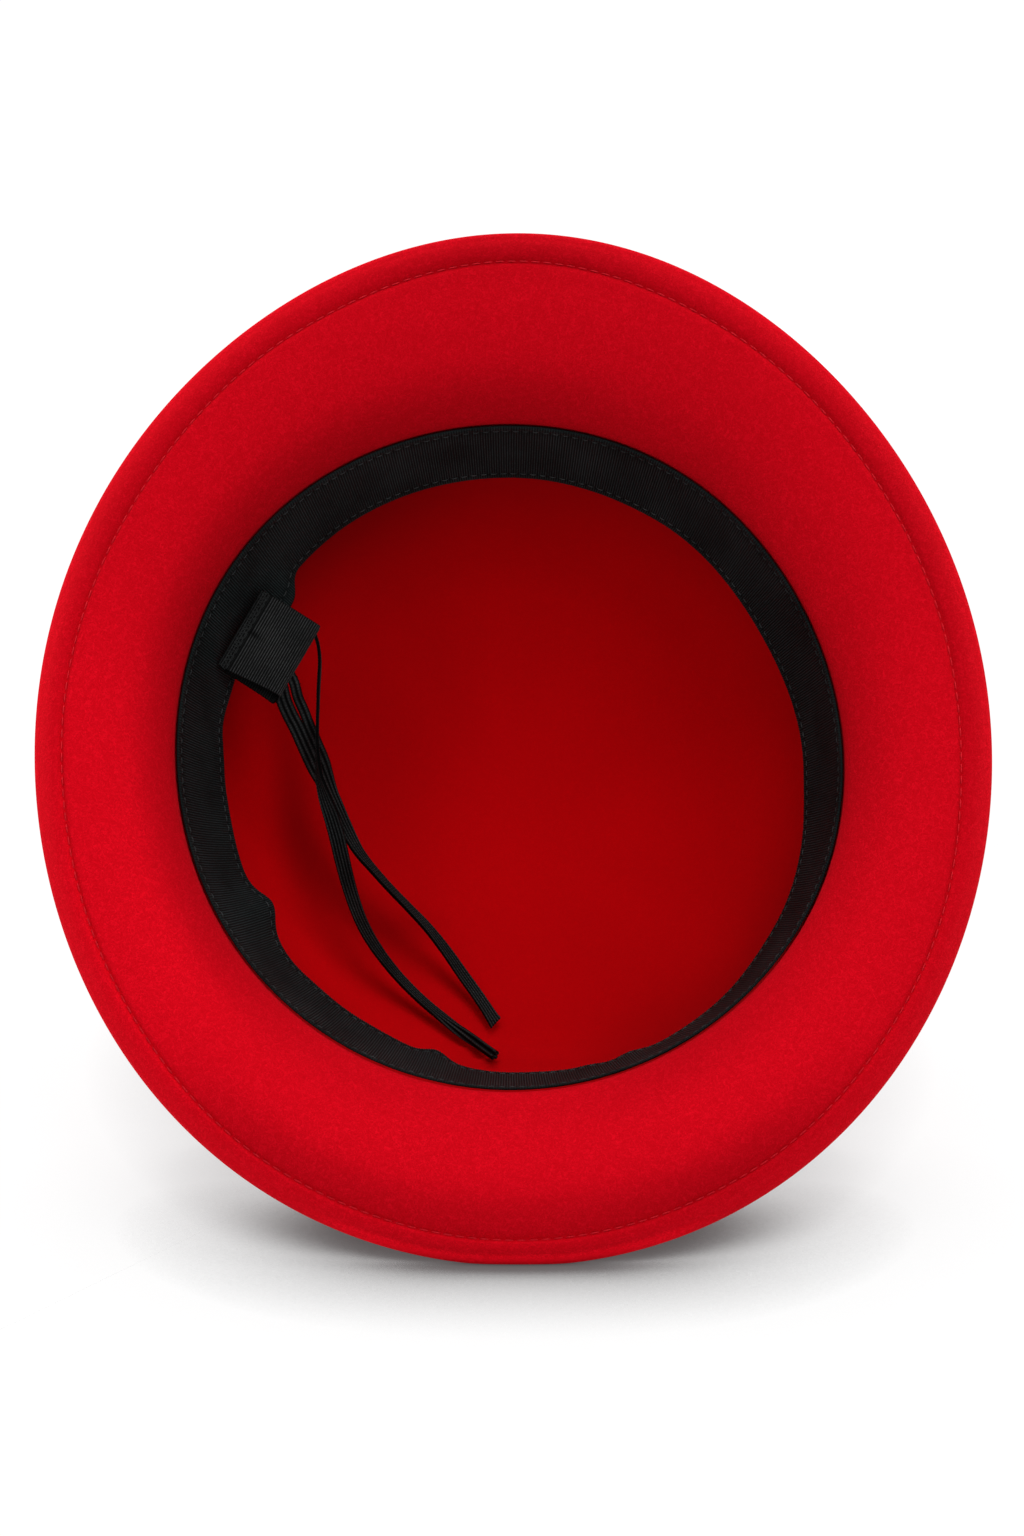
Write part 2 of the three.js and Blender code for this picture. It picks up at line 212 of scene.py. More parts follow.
FOLDS = [
    # angle in degrees, how wide, how far inward
    (171, 5, -1.0),
    (190, 9, 0.7),
    (209.5, 4.2, 3.6),
    (221, 6, -0.8),
    (255.5, 3, 2.0),
    (285, 2.5, 0.4),
    (293, 3, 1.0),
    (314, 9, -0.5),
    (347, 8, -0.3),
]
CURLS = [
    # angle in degrees, how wide, how far inward at the free edge alone
    (145, 6, 5.2),
]

# Rows of the sweatband's mesh as shares of its width: the visible face, and the back from the free edge
BAND_SEEN = [0.0, 0.015, 0.03, 0.06, 0.085, 0.11, 0.16, 0.25, 0.4, 0.55]
BAND_SEEN += [0.7, 0.8, 0.86, 0.89, 0.915, 0.94, 0.97, 0.985, 1.0]
BAND_HIDDEN = [1.0, 0.965, 0.93, 0.89, 0.85, 0.8, 0.75, 0.68, 0.55, 0.4, 0.1, 0.0]

# Adjuster loop
LOOP_ANGLE = math.radians(150.5)
LOOP_TILT = math.radians(19.5)
LOOP_LONG = 24.8
LOOP_SHIFT = 3.9
LOOP_REACH = 20.0
LOOP_BASE_RADIUS = 85.1
LOOP_DEPTH = 16.0
LOOP_SEWN = 2.4
LOOP_RIBBON = 0.8
LOOP_HALF = 1.8
LOOP_BASE_HALF = 0.9
LOOP_PITCH = 0.74
LOOP_RIB_HIGH = 0.13
LOOP_NECK = 3.0
LOOP_COLUMNS = 97
LOOP_STEP = 0.1
LOOP_RISE_ROWS = 24
LOOP_FLAT_ROWS = 16
LOOP_TIP_ROWS = 22
LOOP_SKEW = 2.6
SKEW_FROM = 0.46
SKEW_FADE = 0.08
LOOP_TAPER = 1.6
SIDE_ROUND = 0.04
SIDE_LEAST = 0.75
SIDE_DARK = 0.03

# Crease over the loop's base, with painted shade in it, less painted highlight on the strip where it is
# sewn, and painted shade along the sewn line
CREASE_LONG = 6.5
CREASE_SHIFT = 0.5
CREASE_SLANT = 0.9
CREASE_WIDE = 0.7
CREASE_DEEP = 0.55
CREASE_BACK = 0.2
CREASE_SHADE = 1.4
CREASE_IN = 0.15
CREASE_OUT = (0.2, 0.8)
CREASE_UNTIL = 0.4
STRIP_HIGHLIGHT = 0.6
STRIP_FADE = 0.6
SEWN_LINE_SHADE = 0.85
LINE_BEYOND = 0.55
LINE_WIDE = 0.35
BACK_HIGHLIGHT = 0.3

# Zigzag over the loop's base and the straight row beside it
ZIGZAG_COUNT = 34
ZIGZAG_REACH = 1.3
ZIGZAG_SINK = 0.02
ROW_COUNT = 10
ROW_REACH = 2.5
ROW_HIGH = 0.05
LOOP_STITCH_LONG = 2.2
LOOP_STITCH_THICK = 0.28

# Elastics: width of the flat cord, its ribs, their braid, how narrow the painted highlight on each rib is,
# and how it rolls up
CORD_WIDTH = 4.5
CORD_RIBS = 5
CORD_PITCH = 0.9
CORD_SIDES = 12
CORD_STEP = 0.3
RIB_HALF_WIDE = 0.5
RIB_HALF_THICK = 0.6
BRAID_PITCH = 0.95
BRAID_DEEP = 0.045
HIGHLIGHT_POWER = 9
TUBE_BEND = 1.66
TUBE_SWELL = 0.65
TUBE_WIDER = 0.5

# Changes along an elastic as (start, length): its first stretch, where it narrows, the slit's two ends
FIRST_FADE = (44, 16)
NARROW_FADE = (75, 30)
NARROW = 0.16
SLIT_OPEN = (11, 4)
SLIT_CLOSE = (24, 8)
CURL_FULL = 5.0
END_FLARE = 2.2
END_SLANT = 3.0
CUFF = 0.45
CUFF_LEAST = 0.25

# Routes of the elastics: u, v, depth and turn in degrees
FRONT_ROUTE = [
    (-65.0, 43.2, 23.0, 80),
    (-60.5, 42.8, 24.6, 85),
    (-57.0, 41.2, 26.0, 88),
    (-55.0, 37.8, 27.6, 90),
    (-54.1, 33.2, 30.4, 90),
    (-54.5, 22.9, 33.6, 90),
    (-54.9, 10.2, 38.8, 86),
    (-54.5, 1.4, 44.5, 70),
    (-53.0, -4.4, 48.0, 42),
    (-51.2, -9.8, 51.8, 16),
    (-49.7, -15.0, 55.5, 4),
    (-48.4, -20.5, 59.8, 0),
    (-47.1, -25.6, 64.3, -2),
    (-45.6, -30.5, 68.8, -6),
    (-43.6, -35.7, 73.4, -14),
    (-41.1, -40.4, 77.6, -24),
    (-37.4, -45.6, 82.0, -36),
    (-32.2, -51.6, 86.0, -44),
    (-25.2, -58.3, 88.6, -46),
    (-16.1, -65.8, 87.6, -46),
    (-9.6, -71.0, 83.2, -44),
    (-4.3, -75.5, 77.2, -42),
]
BACK_ROUTE = [
    (-72.6, 33.2, 20.7, 0),
    (-67.8, 29.8, 23.0, 0),
    (-63.9, 25.2, 25.4, 0),
    (-62.4, 20.5, 30.5, 0),
    (-60.0, 15.7, 37.0, 0),
    (-57.5, 10.6, 44.2, -2),
    (-55.0, 5.5, 51.0, -6),
    (-52.5, 0.1, 57.2, -12),
    (-49.9, -5.4, 62.8, -22),
    (-47.3, -10.7, 67.6, -32),
    (-44.2, -16.1, 71.0, -48),
    (-40.5, -20.4, 75.0, -58),
    (-35.4, -25.6, 80.0, -58),
    (-29.9, -30.7, 85.0, -54),
    (-24.1, -36.3, 89.5, -46),
    (-18.8, -42.6, 93.0, -36),
    (-13.8, -49.5, 95.0, -26),
    (-8.8, -56.6, 94.8, -25),
    (-4.1, -64.1, 92.0, -24),
]


# Camera at the photograph's angle, looking into the opening
def add_camera():
    data = bpy.data.cameras.new("camera")
    data.lens = LENS
    data.sensor_width = SENSOR
    data.shift_x = SHIFT_RIGHT / PHOTO_TALL
    data.shift_y = SHIFT_UP / PHOTO_TALL
    camera = bpy.data.objects.new("camera", data)
    bpy.context.collection.objects.link(camera)
    away = np.array([0.0, -math.cos(CAMERA_RISE), math.sin(CAMERA_RISE)])
    camera.location = OPENING_AT * MM + CAMERA_AWAY * away
    camera.rotation_euler = (math.pi / 2 - CAMERA_RISE, 0.0, 0.0)
    bpy.context.scene.camera = camera


add_camera()


# Places a point of the hat's own directions in the frame
def place(u, v, w):
    u, v, w = np.broadcast_arrays(u, v, w)
    return OPENING_AT + u[..., None] * U + v[..., None] * V + w[..., None] * W


def smoothstep(x):
    x = np.clip(x, 0.0, 1.0)
    return x * x * (3 - 2 * x)


# From 0 at the start to 1 a length further on
def fade_in(value, start, length):
    return smoothstep((value - start) / length)


# Smooth bump of height 1 round a middle
def bell(value, middle, wide):
    return np.exp(-(((value - middle) / wide) ** 2))


def unit(vectors):
    return vectors / np.linalg.norm(vectors, axis=-1, keepdims=True)


def wave_at(angle, waves):
    return sum(high * np.cos(count * (angle - math.radians(peak))) for count, peak, high in waves)


# Four-sided faces over a grid of points, joined up where it wraps round
def grid_faces(rows, columns, wrap_rows=False, wrap_columns=False, start=0):
    row = np.arange(rows if wrap_rows else rows - 1)[:, None]
    column = np.arange(columns if wrap_columns else columns - 1)[None, :]
    next_row = (row + 1) % rows
    next_column = (column + 1) % columns
    corners = [
        row * columns + column,
        row * columns + next_column,
        next_row * columns + next_column,
        next_row * columns + column,
    ]
    return (np.stack(np.broadcast_arrays(*corners), -1).reshape(-1, 4) + start).tolist()


# A mesh piece that rides with the hat; values are numbers per point that its material reads by name
def add_piece(name, points, faces, material, values):
    mesh = bpy.data.meshes.new(name)
    mesh.from_pydata((np.asarray(points).reshape(-1, 3) * MM).tolist(), [], faces)
    for key, numbers in values.items():
        layer = mesh.attributes.new(key, "FLOAT", "POINT")
        layer.data.foreach_set("value", np.asarray(numbers, np.float32).ravel())
    shaped = bmesh.new()
    shaped.from_mesh(mesh)
    bmesh.ops.recalc_face_normals(shaped, faces=shaped.faces)
    shaped.to_mesh(mesh)
    shaped.free()
    mesh.shade_smooth()
    mesh.materials.append(material)
    piece = bpy.data.objects.new(name, mesh)
    bpy.context.collection.objects.link(piece)
    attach(piece, "root")
    return piece


# Materials
class Nodes:
    """Short way to write a node material."""

    def __init__(self, name):
        self.material = bpy.data.materials.new(name)
        self.material.use_nodes = True
        self.tree = self.material.node_tree
        self.tree.nodes.clear()

    def add(self, kind, inputs=None, **settings):
        node = self.tree.nodes.new(kind)
        for key, value in settings.items():
            setattr(node, key, value)
        for key, value in (inputs or {}).items():
            if isinstance(value, bpy.types.NodeSocket):
                self.tree.links.new(value, node.inputs[key])
            else:
                node.inputs[key].default_value = value
        return node

    def math(self, operation, a, b):
        return self.add("ShaderNodeMath", {0: a, 1: b}, operation=operation).outputs[0]

    def noise(self, where, scale, detail=2.0, rough=0.5):
        inputs = {"Vector": where, "Scale": scale, "Detail": detail, "Roughness": rough}
        return self.add("ShaderNodeTexNoise", inputs).outputs["Fac"]

    def ramp(self, value, low, high, to_low, to_high):
        inputs = {"Value": value, "From Min": low, "From Max": high, "To Min": to_low, "To Max": to_high}
        return self.add("ShaderNodeMapRange", inputs).outputs["Result"]

    def mix(self, share, a, b):
        node = self.add("ShaderNodeMix", data_type="RGBA")
        for key, value in ((0, share), (6, a), (7, b)):
            if isinstance(value, bpy.types.NodeSocket):
                self.tree.links.new(value, node.inputs[key])
            else:
                node.inputs[key].default_value = value
        return node.outputs[2]

    def finish(self, shader):
        output = self.add("ShaderNodeOutputMaterial")
        self.tree.links.new(shader, output.inputs["Surface"])
        return self.material


def felt_material():
    n = Nodes("wool_felt")
    where = n.add("ShaderNodeTexCoord").outputs["Object"]
    bent = n.add("ShaderNodeTexNoise", {"Vector": where, "Scale": 520.0, "Detail": 2.0})
    push = n.add("ShaderNodeVectorMath", {0: bent.outputs["Color"], "Scale": 0.0035}, operation="SCALE")
    astray = n.add("ShaderNodeVectorMath", {0: where, 1: push.outputs[0]}, operation="ADD").outputs[0]
    nap_and_bounce = n.add("ShaderNodeAttribute", attribute_name="nap_and_bounce").outputs["Fac"]
    tone_and_painted_shade = n.add("ShaderNodeAttribute", attribute_name="tone_and_painted_shade").outputs["Fac"]
    strands = []
    for scale in (560.0, 980.0):
        field = n.noise(astray, scale, 1.0, 0.4)
        off = n.math("ABSOLUTE", n.math("SUBTRACT", field, 0.5), 0.0)
        strands.append(n.ramp(off, 0.0, 0.055, 1.0, 0.0))
    fibres = n.math("MULTIPLY", n.math("ADD", strands[0], strands[1]), 0.5)
    grit = n.noise(where, 2100.0, 2.0, 0.6)
    clumps = n.noise(where, 300.0, 4.0, 0.6)
    patches = n.noise(where, 26.0, 3.0, 0.5)
    grain = n.math("ADD", n.math("MULTIPLY", fibres, 0.40), n.math("MULTIPLY", grit, 0.48))
    grain = n.math("ADD", grain, n.math("MULTIPLY", clumps, 0.12))
    uneven = n.math("MULTIPLY", n.math("SUBTRACT", n.ramp(grain, 0.22, 0.62, 0.0, 1.0), 0.5), nap_and_bounce)
    tone = n.math("ADD", n.math("MULTIPLY", uneven, 0.82), 0.5)
    colour = n.mix(tone, (0.53, 0.0006, 0.005, 1), (0.80, 0.003, 0.014, 1))
    drift = n.math("MULTIPLY", n.ramp(patches, 0.35, 0.65, 0.0, 0.16), nap_and_bounce)
    colour = n.mix(drift, colour, (0.58, 0.001, 0.007, 1))
    # Painted light and shade on the brim and in the crown, and a plain tone on the outside, scale the felt's
    # colour
    shade = n.add("ShaderNodeVectorMath", {0: colour, "Scale": tone_and_painted_shade}, operation="SCALE").outputs[0]
    # Where the nap is weak, deep in the crown, the red turns purer and darker: painted bounced light
    bounce_red = n.add("ShaderNodeVectorMath", {0: shade, 1: (1.0, 0.3, 0.2)}, operation="MULTIPLY").outputs[0]
    shade = n.mix(nap_and_bounce, bounce_red, shade)
    rough = n.math("MULTIPLY", nap_and_bounce, 0.5)
    bump = n.add("ShaderNodeBump", {"Strength": rough, "Distance": 0.0003, "Height": grain})
    inputs = {
        "Base Color": shade,
        "Roughness": 0.95,
        "Specular IOR Level": 0.03,
        "Sheen Weight": 0.10,
        "Sheen Roughness": 0.55,
        "Sheen Tint": (1.0, 0.06, 0.09, 1),
        "Normal": bump.outputs["Normal"],
    }
    return n.finish(n.add("ShaderNodeBsdfPrincipled", inputs).outputs[0])


# Black ribbons, elastics and thread: painted shade in the weave's valleys, painted highlight on its crests
def ribbon_material(name, valley_shade, painted_highlight, fibre_scale):
    n = Nodes(name)
    where = n.add("ShaderNodeTexCoord").outputs["Object"]
    highlight_share = n.add("ShaderNodeAttribute", attribute_name="painted_highlight").outputs["Fac"]
    threads = n.noise(where, fibre_scale, 2.0, 0.6)
    cloud = n.noise(where, 70.0, 2.0, 0.5)
    wear = n.math("ADD", n.ramp(threads, 0.3, 0.7, 0.35, 1.15), n.ramp(cloud, 0.3, 0.7, -0.2, 0.2))
    colour = n.mix(n.math("MULTIPLY", highlight_share, wear), valley_shade, painted_highlight)
    bump = n.add("ShaderNodeBump", {"Strength": 0.35, "Distance": 0.00012, "Height": threads})
    inputs = {
        "Base Color": colour,
        "Roughness": 0.62,
        "Specular IOR Level": 0.05,
        "Normal": bump.outputs["Normal"],
    }
    return n.finish(n.add("ShaderNodeBsdfPrincipled", inputs).outputs[0])


felt_look = felt_material()
ribbon_look = ribbon_material("grosgrain", (0.0008, 0.0016, 0.0017, 1), (0.034, 0.046, 0.047, 1), 2400.0)
loop_look = ribbon_material("loop_grosgrain", (0.0012, 0.0014, 0.0014, 1), (0.056, 0.058, 0.059, 1), 2400.0)
elastic_look = ribbon_material(
    "braided_elastic", (0.0006, 0.001, 0.0011, 1), (0.076, 0.087, 0.089, 1), 2600.0
)
thread_look = ribbon_material("thread_black", (0.009, 0.010, 0.0102, 1), (0.082, 0.09, 0.092, 1), 3000.0)
loop_thread = ribbon_material("thread_loop", (0.003, 0.0033, 0.0034, 1), (0.034, 0.037, 0.0375, 1), 3000.0)


# Elastics, each a row of braided ribs laid along its route
def route_line(route, step):
    spots = np.array([(u, v, -s) for u, v, s, turn in route], float)
    turns = np.radians([row[3] for row in route])
    padded = np.vstack([2 * spots[0] - spots[1], spots, 2 * spots[-1] - spots[-2]])
    fine = 60
    line, bearing = [], []
    for k in range(len(spots) - 1):
        a, b, c, d = padded[k : k + 4]
        ab = np.linalg.norm(b - a) ** 0.5
        bc = np.linalg.norm(c - b) ** 0.5
        cd = np.linalg.norm(d - c) ** 0.5
        leave = ((b - a) / ab - (c - a) / (ab + bc) + (c - b) / bc) * bc
        reach = ((c - b) / bc - (d - b) / (bc + cd) + (d - c) / cd) * bc
        last = k == len(spots) - 2
        t = np.linspace(0, 1, fine + 1 if last else fine, endpoint=last)[:, None]
        square = 3 * (c - b) - 2 * leave - reach
        cube = 2 * (b - c) + leave + reach
        line.append(b + leave * t + square * t**2 + cube * t**3)
        bearing.append(turns[k] + (turns[k + 1] - turns[k]) * t[:, 0])
    line = np.vstack(line)
    bearing = np.concatenate(bearing)
    run = np.concatenate([[0], np.cumsum(np.linalg.norm(np.diff(line, axis=0), axis=1))])
    even = np.linspace(0, run[-1], int(run[-1] / step) + 1)
    centre = np.stack([np.interp(even, run, line[:, k]) for k in range(3)], -1)
    return centre, np.interp(even, run, bearing), even


# How the flat row of ribs rolls up across its width: place and direction of a rib at each ring
def curl_across(at, curl, half):
    least = 1e-4
    bend = np.maximum(curl, least) * TUBE_BEND
    turned = bend * at
    radius = (1 + TUBE_SWELL * curl) / bend
    sink = (1 - np.sin(bend * half) / (bend * half)) * radius
    return np.sin(turned) * radius, (np.cos(turned) - 1) * radius + sink, turned


# One elastic: the slit, the slant and flare of its end, how long it curls, and its first stretch
def add_elastic(
    name, route, node, split=0.0, slant=0.0, spread=0.0, curl=0.0, start_wide=0.0, start_thin=0.0
):
    centre, turn, run = route_line(route, CORD_STEP)
    along = unit(np.gradient(centre, axis=0))
    out = np.array([0.0, 0.0, 1.0])
    face = unit(out - along * along[:, 2:3])
    side = np.cross(face, along)
    across = side * np.cos(turn)[:, None] + face * np.sin(turn)[:, None]
    over = face * np.cos(turn)[:, None] - side * np.sin(turn)[:, None]
    rings = len(run)
    sides = CORD_SIDES
    around = np.linspace(0, 2 * math.pi, sides, endpoint=False)
    left = run[-1] - run
    first = 1 - fade_in(run, *FIRST_FADE)
    wider = 1 + spread * np.exp(-left / END_FLARE) + start_wide * first - NARROW * fade_in(run, *NARROW_FADE)
    thinner = 1 - start_thin * first
    rolled = (1 - fade_in(left, CURL_FULL, max(curl, 1))) * (curl > 0)
    apart = split * fade_in(run, *SLIT_OPEN) * (1 - fade_in(run, *SLIT_CLOSE))
    cuff = np.sqrt(np.clip(np.minimum(left, run) / CUFF + CUFF_LEAST, 0, 1))
    beat = 2 * math.pi * run / BRAID_PITCH
    points = []
    faces = []
    painted_highlight = []
    for rib in range(CORD_RIBS):
        at = (rib - (CORD_RIBS - 1) / 2) * CORD_PITCH * wider
        at = at + apart * (0.5 if rib > CORD_RIBS / 2 else -0.5)
        lay = 1 if rib % 2 else -1
        braid = BRAID_DEEP * np.sin(beat[:, None] + lay * 2 * around[None, :])
        half_wide = (RIB_HALF_WIDE + braid) * (cuff * wider * (1 + TUBE_WIDER * rolled))[:, None]
        half_thick = (RIB_HALF_THICK + braid) * (cuff * thinner)[:, None]
        offset = 2.0 if rib % 2 else 0.0
        # Painted highlight along the top and bottom of each rib, beading with the braid
        bead = 0.7 + 0.3 * np.sin(beat + offset)
        painted_highlight.append(bead[:, None] * np.abs(np.sin(around))[None, :] ** HIGHLIGHT_POWER)
        rib_x, rib_y, turned = curl_across(at, rolled, CORD_WIDTH / 2)
        x = half_wide * np.cos(around)
        y = half_thick * np.sin(around)
        lean_x = np.cos(turned)[:, None]
        lean_y = np.sin(turned)[:, None]
        far_x = rib_x[:, None] + x * lean_x + y * lean_y
        far_y = rib_y[:, None] - x * lean_y + y * lean_x
        end_shift = slant * far_x * smoothstep(1 - left / END_SLANT)[:, None]
        spots = centre[:, None] + across[:, None] * far_x[..., None] + over[:, None] * far_y[..., None]
        spots = spots + along[:, None] * end_shift[..., None]
        start = rib * rings * sides
        points.append(place(spots[..., 0], spots[..., 1], spots[..., 2]).reshape(-1, 3))
        faces += grid_faces(rings, sides, wrap_columns=True, start=start)
        faces.append(list(range(start, start + sides)))
        faces.append(list(range(start + (rings - 1) * sides, start + rings * sides)))
    values = {"painted_highlight": np.concatenate(painted_highlight)}
    piece = add_piece(name, np.vstack(points), faces, elastic_look, values)
    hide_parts(node)
    path = place(centre[:, 0], centre[:, 1], centre[:, 2]) * MM


add_elastic("front_elastic", FRONT_ROUTE, "elastic_front", curl=24.0, start_thin=0.2)
add_elastic("back_elastic", BACK_ROUTE, "elastic_back", split=0.5, slant=-0.45, spread=0.2, start_wide=0.6)


# Felt: the section's inner face as (radius, w), from the crown's middle out to the hem's fold
def flare(share):
    return BRIM_RISE * (1 - (1 - np.minimum(share, CREST_SHARE) / CREST_SHARE) ** 2)


def wall_radius(s):
    return OPENING_RADIUS * math.sqrt(1 - (s / CROWN_DEPTH) ** CROWN_FULLNESS)


def inner_section():
    part = np.linspace(0, math.pi / 2, CROWN_ROWS)[1:]
    s = CROWN_DEPTH * np.abs(np.cos(part)) ** (2 / CROWN_FULLNESS)
    crown = np.stack([OPENING_RADIUS * np.sin(part), -s], -1)[s > BEND_BELOW + BEND_CLEAR]
    t = np.linspace(0, 1, BEND_ROWS)[:, None]
    start = np.array([wall_radius(BEND_BELOW), -BEND_BELOW])
    corner = np.array([OPENING_RADIUS, 0.0])
    end = np.array([OPENING_RADIUS + BEND_BEYOND, flare(BEND_BEYOND / BRIM_WIDTH)])
    bend = start * (1 - t) ** 2 + corner * 2 * t * (1 - t) + end * t**2
    reach = np.linspace(OPENING_RADIUS + BEND_BEYOND, MEAN_EDGE - HEM_FROM, BRIM_ROWS)[1:]
    hem = np.linspace(MEAN_EDGE - HEM_FROM, MEAN_EDGE - FELT, HEM_ROWS)[1:]
    brim = np.concatenate([reach, hem])
    rise = flare((brim - OPENING_RADIUS) / BRIM_WIDTH)
    return np.vstack([crown, bend, np.stack([brim, rise], -1)])


# How far the brim's edge rolls back, at the top, the sides and the bottom
def edge_roll(angle):
    up = np.sin(angle)
    slope = (ROLL_TOP - ROLL_BOTTOM) / 2
    bow = (ROLL_TOP + ROLL_BOTTOM) / 2 - ROLL_SIDE
    return ROLL_SIDE + slope * up + bow * up * up


# Crown drawn to a waved oval, brim drawn out to its own edge and rolled back beyond the crest
def shape_felt(radius, w, angle):
    share = np.maximum((radius - OPENING_RADIUS) / BRIM_WIDTH, 0)
    wave = wave_at(angle, OPENING_WAVES) * smoothstep(w / WAVE_DEPTH + 1)
    inside = np.minimum(radius, OPENING_RADIUS) * (1 + wave / OPENING_RADIUS)
    edge_wave = wave_at(angle, EDGE_WAVES)
    edge_half = EDGE_HALF_WIDTH * (1 - EDGE_EGG * np.sin(angle)) + edge_wave
    edge_u = EDGE_CENTRE_U + edge_half * np.cos(angle)
    edge_v = EDGE_CENTRE_V + (EDGE_HALF_LENGTH + edge_wave) * np.sin(angle)
    past = np.maximum(0, (share - CREST_SHARE) / (1 - CREST_SHARE))
    u = inside * np.cos(angle) * (1 - share) + edge_u * share
    v = inside * OVAL * np.sin(angle) * (1 - share) + edge_v * share
    return place(u, v, w - edge_roll(angle) * past**2)


# Height of a point that settles on the floor, with a soft start
def rest(h):
    soft = (h + GIVE) ** 2 / (4 * GIVE)
    return np.where(h <= -GIVE, 0.0, np.where(h >= GIVE, h, soft))


# How far the hem's sewing lifts or lowers the visible face, by the distance from the brim's edge
def hem_relief(inward):
    groove = -GROOVE_DEPTH * bell(inward, GROOVE_IN, GROOVE_WIDE)
    on_puff = np.clip((inward - FELT) / (GROOVE_IN - FELT), 0, 1)
    puff = HEM_PUFF * np.sin(math.pi * on_puff) ** PUFF_POWER
    pull = PULL_HIGH * bell(inward, GROOVE_IN + PULL_BEYOND, PULL_WIDE)
    return groove + puff + pull


# Value at each angle of a list that goes round the hat
def round_list(angle, numbers):
    table = np.array(numbers)
    place_in = (np.degrees(angle) % 360) / ROUND_STEP
    row = np.floor(place_in).astype(int) % len(table)
    after = table[(row + 1) % len(table)]
    return table[row] + (after - table[row]) * smoothstep(place_in - np.floor(place_in))


# Painted light and shade on the brim, by the angle and the share of its width
def brim_painted_shade(angle, share):
    near = round_list(angle, SHADE_NEAR)
    middle = round_list(angle, SHADE_MIDDLE)
    outer = round_list(angle, SHADE_OUTER)
    tone_and_painted_shade = near + (middle - near) * fade_in(share, *MIDDLE_FADE)
    tone_and_painted_shade = tone_and_painted_shade + (outer - middle) * fade_in(share, *OUTER_FADE)
    upward = np.sin(angle)
    low = fade_in(-upward, *LOW_FADE)
    tone_and_painted_shade = tone_and_painted_shade - LOW_SHADE * low * bell(share, LOW_AT, LOW_WIDE)
    lowest = fade_in(-upward, *LOWEST_FADE)
    tone_and_painted_shade = tone_and_painted_shade + LOWEST_PAINTED_LIGHT * lowest * fade_in(share, *LOWEST_EDGE)
    inward = BRIM_WIDTH * (1 - share)
    upper = fade_in(upward, *UPPER_FADE)
    hem = fade_in(inward, *UPPER_HEM) * (1 - smoothstep(inward - GROOVE_IN))
    return tone_and_painted_shade - UPPER_SHADE * upper * hem


# Painted shade inside the crown, painted light in its middle, and a soft painted shadow of the elastics
def crown_painted_shade(angle, radius, w):
    wall = WALL_SHADE + WALL_SIDE_LIGHT * np.cos(angle - WALL_TURN)
    tone_and_painted_shade = wall + (DEEP_LIGHT - wall) * fade_in(-w, *DEEP_FADE)
    tone_and_painted_shade = tone_and_painted_shade * (1 + round_list(angle, SHADE_CROWN) * fade_in(radius, *CROWN_FADE))
    tone_and_painted_shade = tone_and_painted_shade * (1 + round_list(angle, SHADE_WALL) * fade_in(radius, *WALL_FADE))
    degrees = np.degrees(angle) % 360
    cord_shadow = bell(radius, CORD_SHADOW_RADIUS - CORD_SHADOW_SLOPE * (degrees - CORD_SHADOW_FROM), CORD_SHADOW_WIDE)
    cord_shadow = cord_shadow * fade_in(degrees, *CORD_SHADOW_START) * (1 - fade_in(degrees, *CORD_SHADOW_END))
    return tone_and_painted_shade * (1 - CORD_SHADOW_DARK * cord_shadow)


# Painted light and shade over the whole felt, from inside the crown across the mouth to the brim
def felt_painted_shade(angle, radius, w):
    inside = crown_painted_shade(angle, radius, w)
    brim = brim_painted_shade(angle, (radius - OPENING_RADIUS) / BRIM_WIDTH)
    return inside + (brim - inside) * fade_in(w, *MOUTH_FADE)


# How far the groove lies from its usual place at each angle, fading out to the edge and the middle
def groove_shift(angle, inward):
    near = np.clip((inward - FELT) / (GROOVE_IN - FELT), 0, 1)
    far = np.clip((GROOVE_FADE - inward) / (GROOVE_FADE - GROOVE_IN), 0, 1)
    return (round_list(angle, GROOVE_ROUND) - GROOVE_IN) * np.minimum(near, far)


# Directions out of the felt along a section
def felt_normals(section):
    along = unit(np.gradient(section, axis=0))
    return np.stack([along[:, 1], -along[:, 0]], -1)


